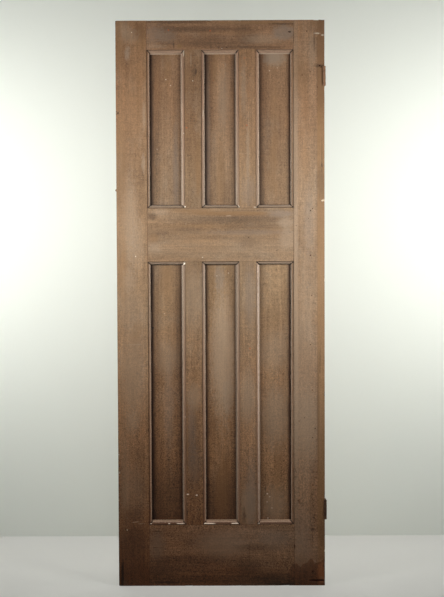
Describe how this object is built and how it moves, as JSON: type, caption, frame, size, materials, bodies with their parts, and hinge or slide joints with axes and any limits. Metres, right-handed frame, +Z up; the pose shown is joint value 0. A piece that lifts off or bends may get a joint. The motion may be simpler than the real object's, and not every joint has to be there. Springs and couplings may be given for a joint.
{
  "type": "panelled door leaf",
  "caption": "Tall framed door leaf of old timber with short flat panels over long ones, mouldings worked round each panel, wedged tenons and butt hinges folded shut on one edge.",
  "frame": {"origin": "middle of the underside of the bottom rail, half way through the leaf's thickness", "axes": "+X to the right as seen from the front, towards the hinges; +Y from the front face to the back face; +Z up"},
  "size_m": [0.7598, 0.0518, 2.04],
  "materials": {
    "frame_timber": "stripped, worn and grimed timber",
    "panel_timber": "stripped timber, darker at its edges",
    "wedge_timber": "end grain, grimed",
    "upper_hinge_iron": "old brown paint over iron",
    "lower_hinge_iron": "dark rust",
    "pin_steel": "dull, worn",
    "screw_steel": "rusted",
    "nail_iron": "painted over"
  },
  "bodies": {
    "door": {"left_stile": "frame_timber", "right_stile": "frame_timber", "top_rail": "frame_timber", "lock_rail": "frame_timber", "bottom_rail": "frame_timber", "upper_left_muntin": "frame_timber", "upper_right_muntin": "frame_timber", "lower_left_muntin": "frame_timber", "lower_right_muntin": "frame_timber", "upper_left_panel": "panel_timber", "upper_middle_panel": "panel_timber", "upper_right_panel": "panel_timber", "lower_left_panel": "panel_timber", "lower_middle_panel": "panel_timber", "lower_right_panel": "panel_timber", "top_rail_left_wedges": "wedge_timber", "top_rail_right_wedges": "wedge_timber", "lock_rail_left_wedges": "wedge_timber", "lock_rail_right_wedges": "wedge_timber", "bottom_rail_left_wedges": "wedge_timber", "bottom_rail_right_wedges": "wedge_timber", "upper_hinge_door_leaf": "upper_hinge_iron", "lower_hinge_door_leaf": "lower_hinge_iron", "upper_hinge_pin": "pin_steel", "lower_hinge_pin": "pin_steel", "hinge_screws": "screw_steel", "edge_nail": "nail_iron"},
    "upper_frame_leaf": {"upper_hinge_frame_leaf": "upper_hinge_iron"},
    "lower_frame_leaf": {"lower_hinge_frame_leaf": "lower_hinge_iron"}
  },
  "joints": [
    {"name": "upper_hinge_swing", "type": "hinge", "parent": "door", "child": "upper_frame_leaf", "pos_m": [0.3728, -0.0263, 1.84], "axis": [0, 0, -1], "range_deg": [0, 265]},
    {"name": "lower_hinge_swing", "type": "hinge", "parent": "door", "child": "lower_frame_leaf", "pos_m": [0.3753, -0.0263, 0.279], "axis": [0, 0, -1], "range_deg": [0, 265]}
  ]
}
